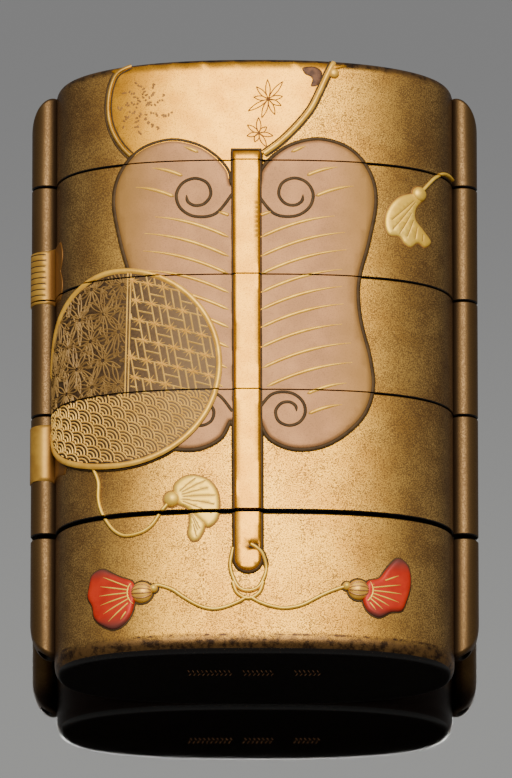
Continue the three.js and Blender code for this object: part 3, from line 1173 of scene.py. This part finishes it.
def star(rays=8, reach=0.95):
    """One small star of fine rays."""
    lines = [turned([(0.0, 0.0), (reach / 2, 0.0), (reach, 0.0)], 360 * i / rays) for i in range(rays)]
    return bars(lines, FINE_LINE, 0.2, 0.14, sides=4, taper=(0, 0.6))


def fan_circle(radius, steps):
    return leaned(arc(ROUND_FAN, radius, 0, 360, steps)[:-1])


def lighter_inside(points):
    return np.clip((points[:, 0] + 22) / 14, 0, 0.8)


def make_round_fan():
    rise = ROUND_FAN_RISE
    disc = plate(GROUND, fan_circle(ROUND_FAN_RADIUS, 120), rise, 0.35, pitch=0.9, tint=lighter_inside)
    lay("round_fan", [disc])
    rim = bars([fan_circle(ROUND_FAN_RADIUS - 0.3, 160)], LINE, 0.8, 0.28, rise, closed=True)
    lay("round_fan_rim", [rim])
    outer = bars([fan_circle(ROUND_FAN_RADIUS + 0.1, 160)], DARK, 0.5, 0.3, closed=True)
    lay("round_fan_outline", [outer])
    lattice, nodes = lattice_lines()
    divider = [between(DIVIDER_TOP + (dx, 0), DIVIDER_FOOT + (dx, 0)) for dx in (-0.22, 0.22)]
    drawings = (
        ("fan_lattice", lattice + divider, FINE_LINE),
        ("fan_sprays", spray_lines(), OLD_LINE),
        ("fan_waves", wave_lines(), FINE_LINE),
    )
    for name, lines, finish in drawings:
        lines = [leaned(line) for line in lines]
        lay(name, [bars(lines, finish, LINE_WIDTH, 0.12, rise, sides=4)])
    stars = scattered(star(), leaned(nodes), [0.2] * len(nodes), [1.0] * len(nodes), FINE_LINE)
    points = read_points(stars)
    points[:, 2] += rise
    write_points(stars, points)
    lay("fan_stars", [stars])


# ---- Fan behind, on the lid ----

TOP_FAN = [
    (-17.2, 42.8), (-19.4, 41.3), (-20.3, 37.2), (-19.5, 32.9), (-16.6, 28.9), (-10, 24.5), (-3, 25.5),
    (1.3, 29.2), (3.7, 31.1), (6, 33.5), (7.8, 35.9), (9, 38.4), (10.2, 41.2), (11, 42.8),
]
TOP_FAN_RISE = 0.22
WORN_PATCH = [
    (6.6, 41.9), (8.3, 42.1), (9.4, 41.4), (9.3, 40.2), (8.7, 39.2), (7.7, 39.1), (7.9, 40.3),
    (6.9, 40.9),
]


def small_leaf(centre, reach, degrees, width=0.22):
    share = np.linspace(0, 1, 7)
    side = width * np.sin(math.pi * share)
    leaf = np.column_stack([reach * share, side])
    back = np.column_stack([reach * share, -side])
    return [turned(leaf, degrees, centre), turned(back, degrees, centre)]


def make_top_fan():
    outline = walked(bent(TOP_FAN, 8, closed=True))
    lay("top_fan", [plate(BRIGHT, outline, TOP_FAN_RISE, 0.3, pitch=0.9)])
    left, right = wing_outline(-1), wing_outline(1)

    def clear(line):
        """Which points lie clear of the wings in front."""
        return ~(inside(line, left) | inside(line, right))

    arcs = [walked(bent(stretch, 8)) for stretch in (TOP_FAN[:6], TOP_FAN[7:])]
    rims = all_runs(arcs, clear)
    inner = all_runs([shifted(line, 0.5) for line in arcs], clear)
    outer = all_runs([shifted(line, -0.5) for line in arcs], clear)
    left_rims = [line for line in rims if line[0, 0] < FAN_X]
    right_rims = [line for line in rims if line[0, 0] >= FAN_X]
    rim_bars = [bars(left_rims, AMBER, 0.55, 0.25, TOP_FAN_RISE - 0.05)]
    rim_bars.append(bars(right_rims, LINE, 0.75, 0.3, TOP_FAN_RISE - 0.05))
    lay("top_fan_rim", rim_bars)
    edges = [bars(inner, DARK, 0.24, 0.05, TOP_FAN_RISE), bars(outer, DARK, 0.3, 0.08)]
    lay("top_fan_edges", edges)
    ferns, maples = [], []
    pick = np.random.default_rng(3)
    for stem in range(9):
        heading = 40 * stem
        start = np.array([-15.4, 36.6]) + turned([(0.4 + 0.12 * stem, 0)], heading)[0]
        for step in range(9):
            spot = start + turned([(0.36 * step, 0)], heading + 4 * step)[0]
            spot = spot + pick.uniform(-0.15, 0.15, 2)
            ferns += small_leaf(spot, pick.uniform(0.25, 0.5), heading + pick.choice([-55, 55]), 0.07)
    for centre, reach, count, first in (((1.9, 37.2), 3.3, 9, 12), ((0.6, 32.2), 2.3, 7, 40)):
        for ray in range(count):
            length = reach * (0.62 + 0.38 * ((ray * 3) % 4) / 3)
            maples += small_leaf(np.array(centre), length, first + 360 * ray / count, 0.32)
    lay("top_fan_ferns", [bars(ferns, RUST, 0.16, 0.03, TOP_FAN_RISE, sides=4)])
    lay("top_fan_leaves", [bars(maples, COPPER, 0.16, 0.07, TOP_FAN_RISE, sides=4)])
    worn = walked(bent(WORN_PATCH, 5, closed=True))
    lay("worn_patch", [plate(WORN, worn, 0.27, 0.2, pitch=0.4)])
    node = arc((11.0, 41.2), 0.75, 0, 360, 16)[:-1]
    lay("rim_knuckle", [plate(LINE, walked(node), 0.6, 0.5, pitch=0.3)])


# ---- Tassels ----


def lobed(root, reaches, spread, first, width):
    """A tassel head's outline: one round lobe for each reach, fanned out from the root."""
    points = [np.array(root) + turned([(0.0, width)], first)[0]]
    count = len(reaches)
    for i, reach in enumerate(reaches):
        middle = first + spread * (i + 0.5) / count
        for offset, share in ((-0.36, 0.93), (0.0, 1.0), (0.36, 0.93)):
            points.append(turned([(reach * share, 0.0)], middle + offset * spread / count, root)[0])
        if i < count - 1:
            points.append(turned([(reach * 0.88, 0.0)], middle + 0.5 * spread / count, root)[0])
    points.append(np.array(root) - turned([(0.0, width)], first + spread)[0])
    return points


def rays(root, reaches, spread, first, per_lobe, start=0.3, end=0.85, bow=0.0):
    """Lines fanned out from the root, over a tassel's head."""
    lines = []
    count = len(reaches)
    total = count * per_lobe
    for i in range(1, total):
        reach = reaches[min(i // per_lobe, count - 1)]
        share = np.linspace(start, end, 9)
        angle = first + spread * i / total
        curve = bow * np.sin(math.pi * share / 2) * reach
        lines.append(turned(np.column_stack([reach * share, curve]), angle, root))
    return lines


# Each pale tassel: its outline, its root, and the direction and spread of its dark lines.
PALE_TASSELS = [
    ([(-11.2, -19.4), (-10.4, -18.2), (-9.0, -17.6), (-7.4, -17.8), (-6.0, -18.6), (-5.0, -20.2),
      (-4.8, -22.2), (-5.1, -24.1), (-6.3, -25.2), (-7.2, -24.6), (-8.7, -23.1), (-9.6, -22.2),
      (-10.7, -21.6)], (-11.4, -20.9), 88, -42),
    ([(-8.9, -22.6), (-8.0, -23.4), (-6.8, -24.6), (-7.0, -25.8), (-7.6, -26.9), (-8.5, -27.2),
      (-9.2, -26.2), (-9.0, -24.6)], (-9.4, -21.6), 34, -86),
    ([(22.5, 24.6), (20.6, 24.1), (19.2, 23.0), (18.2, 21.2), (18.0, 19.4), (18.6, 18.0), (20.0, 17.9),
      (20.7, 17.0), (21.6, 16.6), (22.6, 17.4), (23.6, 17.0), (24.4, 18.0), (23.4, 19.4), (22.3, 20.8),
      (22.4, 22.4), (23.2, 23.8)], (23.0, 24.6), 62, 212),
]
PALE_KNOBS = [((-11.4, -21.0), 1.15), ((22.8, 24.6), 1.1)]


def knob(centre, radius, rise, finish):
    """A round knob, as a low dome."""
    outline = arc(centre, radius, 0, 360, 40)[:-1]
    return plate(finish, outline, rise, radius * 0.9, pitch=radius / 6)


def make_pale_tassels():
    heads, lines, knobs = [], [], []
    for outline, root, spread, first in PALE_TASSELS:
        shape = walked(bent(outline, 6, closed=True))
        room = grown(shape, -0.45)
        grooves = []
        for line in rays(root, (8.4,), spread, first, 7, 0.2, 1.0, 0.09):
            line = walked(line)
            grooves += [(run, 0.17, 0.04) for run in runs(line, inside(line, room))]
        heads.append(plate(PALE, shape, 0.38, 0.6, grooves, 0.5))
        lines.append(shape)
    for centre, radius in PALE_KNOBS:
        knobs.append(knob(walked([centre])[0], radius, 0.8, PALE))
        lines.append(arc(walked([centre])[0], radius + 0.05, 0, 360, 40)[:-1])
    lay("pale_tassels", heads)
    lay("pale_tassel_knobs", knobs)
    lay("pale_tassel_edges", [bars(lines, RUST, 0.24, 0.08, closed=True)])


RED_TASSELS = [
    (1, [(-16.7, -32.7), (-18.3, -31.9), (-19.5, -31.2), (-20.9, -30.4), (-22.3, -31.0), (-22.7, -32.6),
         (-22.9, -34.2), (-22.3, -35.6), (-22.0, -37.3), (-21.0, -38.5), (-19.5, -39.3), (-18.1, -38.9),
         (-17.0, -37.6), (-16.5, -36.0), (-16.3, -34.6)], (-15.4, -34.3), 118, 128),
    (-1, [(15.5, -32.7), (17.1, -32.1), (18.2, -30.5), (19.6, -29.0), (20.9, -29.6), (21.4, -31.0),
          (21.4, -32.9), (20.9, -34.9), (20.2, -36.5), (18.7, -36.9), (17.1, -37.8), (15.6, -37.1),
          (14.9, -35.7), (15.0, -34.6)], (14.2, -34.0), 112, -64),
]
RED_KNOBS = [((-15.5, -34.3), 1.55, 1), ((14.3, -34.0), 1.5, -1)]


def make_red_tassels():
    heads, gold, edges, knobs, ribs, small = [], [], [], [], [], []
    for way, outline, root, spread, first in RED_TASSELS:
        shape = walked(bent(outline, 6, closed=True))
        centre = shape.mean(0)

        def tips(points, shape=shape, centre=centre):
            """Dark at both ends of the head, and a little along its edge."""
            ends = (np.abs(points[:, 1] - centre[1]) - 2.6) / 1.6
            return np.clip(ends + 0.25 * (distance_to(points, shape, True) < 0.3), 0, 1)

        heads.append(plate(RED, shape, 0.5, 0.5, pitch=0.35, tint=tips))
        edges.append(shape)
        root = walked([root])[0]
        inner = grown(shape, -0.75)
        for ray in range(10):
            angle = first + spread * (ray + 0.5) / 10
            share = np.linspace(0, 1, 24)
            bow = 0.9 * ((ray + 0.5) / 10 - 0.5) * np.square(share)
            line = turned(np.column_stack([6.2 * share, 4.0 * bow * 0.35]), angle, root)
            gold += runs(line, inside(line, inner))
        gold.append(arc(root, 2.05, first + 12, first + spread - 12, 16))
    for centre, radius, way in RED_KNOBS:
        middle = walked([centre])[0]
        knobs.append(knob(middle, radius, 1.0, LINE))
        edges.append(arc(middle, radius + 0.08, 0, 360, 40)[:-1])
        for share in (-0.62, -0.22, 0.22, 0.62):
            turn = np.linspace(-1.15, 1.15, 12)
            x = way * radius * np.sin(turn) * 0.95
            y = share * radius * np.cos(turn)
            dome = np.clip((radius - np.hypot(x, y)) / (radius * 0.9), 0, 1)
            z = np.sqrt(1 - (1 - dome) ** 2)
            ribs.append(np.column_stack([middle[0] + x, middle[1] + y, z - 0.02]))
        bead_middle = middle + (way * 1.65, 0.45)
        small.append(knob(bead_middle, 0.62, 0.75, PALE))
        edges.append(arc(bead_middle, 0.66, 0, 360, 24)[:-1])
    lay("red_tassels", heads)
    lay("red_tassel_lines", [bars(gold, PALE, 0.26, 0.14, 0.47, taper=(0, 0.4))])
    lay("red_tassel_edges", [bars(edges, DARK, 0.36, 0.12, closed=True)])
    lay("tassel_knobs", knobs)
    lay("tassel_knob_ribs", [bars(ribs, COPPER, 0.2, 0.08)])
    lay("tassel_small_knobs", small)


# ---- Patches over the side beads ----


def on_bead(side):
    def place(walk, up, proud):
        turn = walk / BEAD_RADIUS
        radius = BEAD_RADIUS + proud
        x = side * (BEAD_X + radius * np.sin(turn))
        return np.stack([x, up, MID_Z + radius * np.cos(turn)], -1) * MM
    return place


def patch_outline(low, high, inner, outer, scallops):
    heights = np.linspace(low, high, 49)
    wave = 0.25 * np.abs(np.sin(math.pi * scallops * (heights - low) / (high - low)))
    inner_edge = np.column_stack([inner - wave, heights])
    outer_edge = np.column_stack([np.full(49, outer), heights])
    return np.concatenate([outer_edge, inner_edge[::-1]])


def body_strip(low, high, inner, scallops):
    """The stretch of a patch that laps from the bead on to the body, from this far across."""
    heights = np.linspace(low, high, 49)
    wave = 0.3 * np.abs(np.sin(math.pi * scallops * (heights - low) / (high - low)))
    inner_edge = np.column_stack([round_from(-inner + wave), heights])
    outer_edge = np.column_stack([np.full(49, round_from(-27.56)), heights])
    return np.concatenate([outer_edge, inner_edge[::-1]])


def red_outside(points):
    return np.clip((0.3 - points[:, 0]) / 0.9, 0, 1)


def all_red(points):
    return np.ones(len(points))


def make_bead_patches():
    """Two lacquered patches that lap over the left bead from the back."""
    over_back = 4.6
    rise = 0.14
    rows = np.arange(11.4, 19, 0.85)
    ribbed = patch_outline(10.6, 19.3, -1.5, over_back, 2)
    ribs = [(between((0.2, y), (2.6, y + 0.15), 0.3), 0.22, 0.04) for y in rows]
    smooth = patch_outline(-15.3, -6.4, -1.5, over_back, 3)
    ribbed_plate = plate(AMBER, ribbed, rise, 0.2, ribs, 0.5, red_outside)
    smooth_plate = plate(AMBER, smooth, rise, 0.2, pitch=0.5, tint=red_outside)
    lay("ribbed_patch", [ribbed_plate], on_bead(-1))
    lay("smooth_patch", [smooth_plate], on_bead(-1))
    laps = [plate(AMBER, body_strip(10.6, 19.3, 26.9, 2), rise, 0.2, pitch=0.4, tint=all_red)]
    laps.append(plate(AMBER, body_strip(-15.3, -6.4, 26.2, 3), rise, 0.2, pitch=0.4, tint=all_red))
    lay("patch_laps", laps)


# ---- Back and foot ----


def make_back():
    """A plainer back: one loose cord from the bead and one pale tassel, with a few leaves."""
    root = (58.0, 8.0)
    reaches = (5.0, 6.2, 5.4)
    outline = bent(lobed(root, reaches, 70, 235, 0.7), 6, closed=True)
    grooves = [(line, 0.2, 0.05) for line in rays(root, reaches, 70, 235, 2, 0.25, 0.88)]
    lay("back_tassel", [plate(PALE, outline, 0.45, 0.8, grooves, 0.5)])
    route = [
        (33.5, 29.0, 0), (36, 29.6, 0), (41, 27.5, 0), (46, 22, 0), (51, 17.5, 0), (56, 13.5, 0),
        (58, 8.6, 0),
    ]
    back_cord = bars([bent(route, 10)], PALE, 0.52, 0.4, sides=8)
    lay("back_cord", [back_cord, knob(np.array(root), 1.0, 0.8, PALE)])
    leaves = []
    for centre, first in (((76.0, -16.0), 20), ((82.5, -20.5), 70), ((72.5, -22.5), 110)):
        for ray in range(9):
            leaves += small_leaf(np.array(centre), 2.6 - 0.5 * (ray % 2), first + 40 * ray, 0.24)
    lay("back_leaves", [bars(leaves, LINE, 0.22, 0.14, sides=4)])


def make_marks():
    """Rows of short slanting strokes on the foot, which aren't letters."""
    strokes = []
    for left, right in ((-9.0, -2.9), (-1.4, 2.7), (5.7, 9.0)):
        for x in np.arange(left, right, 0.62):
            for z, lean in ((14.9, 0.25), (16.4, -0.2)):
                strokes.append(between((x, z - 0.45), (x + lean, z + 0.45), 0.2))
    flat = bars(strokes, COPPER, 0.14, 0.05, sides=4)
    points = read_points(flat)
    placed = np.stack([points[:, 0], FOOT - np.maximum(points[:, 2], -0.05), points[:, 1]], -1) * MM
    write_points(flat, placed)
    face_outwards(flat)
    flat.name = flat.data.name = "foot_strokes"
    finish_piece(flat)


make_trays()
make_top_fan()
make_war_fan()
make_handle()
make_round_fan()
make_cords()
make_pale_tassels()
make_red_tassels()
make_bead_patches()
make_back()
make_marks()


# ---- Table, light and camera ----


def make_table():
    """A pale polished top with a painted gradient of light, a little lighter towards the foot of the
    object.
    """
    size = 3.0
    corners = [(-size, -size, 0), (size, -size, 0), (size, size, 0), (-size, size, 0)]
    table = new_object("table", corners, [(0, 1, 2, 3)])
    mix = Mixer("polished table")
    # Painted light: the top's colour runs from lighter on the foot's side to darker beyond the lid.
    shade = mix.ramp(mix.along("Y"), -0.06, 0.06)
    tone = mix.blend(shade, (1.0, 1.0, 0.97), (0.66, 0.66, 0.66))
    mix.join(tone, mix.shader.inputs["Base Color"])
    mix.shader.inputs["Metallic"].default_value = 1.0
    mix.shader.inputs["Roughness"].default_value = 0.04
    table.data.materials.append(mix.material)
    return table


def soft_box(name, place, size, power, unlit):
    """A square soft light over the object. The table isn't lit by it, so no bright patch shows there."""
    data = bpy.data.lights.new(name, "AREA")
    data.shape = "RECTANGLE"
    data.size, data.size_y = size
    data.energy = power
    lamp = bpy.data.objects.new(name, data)
    lamp.location = place
    lamp.rotation_euler = (-Vector(place)).to_track_quat("-Z", "Y").to_euler()
    bpy.context.scene.collection.objects.link(lamp)
    group = bpy.data.collections.new(name + " reach")
    group.objects.link(unlit)
    lamp.light_linking.receiver_collection = group
    group.collection_objects[0].light_linking.link_state = "EXCLUDE"
    return lamp


# How bright the surroundings are, and between which cosines of the angle from the camera they fade.
SKY_LEVEL = 0.33
CARD_EDGE = 0.84
CARD_CORE = 0.93


def make_sky():
    """Even pale surroundings, with a dark card where the camera stands."""
    world = bpy.data.worlds.new("studio")
    world.use_nodes = True
    nodes, links = world.node_tree.nodes, world.node_tree.links
    way = nodes.new("ShaderNodeTexCoord")
    card = nodes.new("ShaderNodeVectorMath")
    card.operation = "DOT_PRODUCT"
    card.inputs[1].default_value = (0, -math.sin(TILT), math.cos(TILT))
    spread = nodes.new("ShaderNodeMapRange")
    spread.interpolation_type = "SMOOTHSTEP"
    spread.inputs["From Min"].default_value = CARD_EDGE
    spread.inputs["From Max"].default_value = CARD_CORE
    spread.inputs["To Min"].default_value = SKY_LEVEL
    spread.inputs["To Max"].default_value = 0.0
    links.new(way.outputs["Generated"], card.inputs[0])
    links.new(card.outputs["Value"], spread.inputs["Value"])
    links.new(spread.outputs["Result"], nodes["Background"].inputs["Strength"])
    nodes["Background"].inputs["Color"].default_value = (1, 1, 1, 1)
    bpy.context.scene.world = world


def make_lights(table):
    soft_box("overhead", (0.0, 0.32, 0.95), (0.42, 0.62), 16, table)
    make_sky()


# The camera leans this far towards the foot, and shows a stretch this wide from this far away.
TILT = math.radians(18.5)
CAMERA_DISTANCE = 2.4
SHOWN_WIDTH = 0.1074
FILM_WIDTH = 36


def make_camera():
    aim = Vector((0.0002, -0.0052, MID_Z * MM + 0.0124))
    data = bpy.data.cameras.new("camera")
    data.sensor_width = FILM_WIDTH
    data.lens = FILM_WIDTH * CAMERA_DISTANCE / SHOWN_WIDTH
    data.clip_end = 20
    camera = bpy.data.objects.new("camera", data)
    camera.location = aim + CAMERA_DISTANCE * Vector((0, -math.sin(TILT), math.cos(TILT)))
    camera.rotation_euler = (TILT, 0, 0)
    bpy.context.scene.collection.objects.link(camera)
    bpy.context.scene.camera = camera


make_lights(make_table())
make_camera()
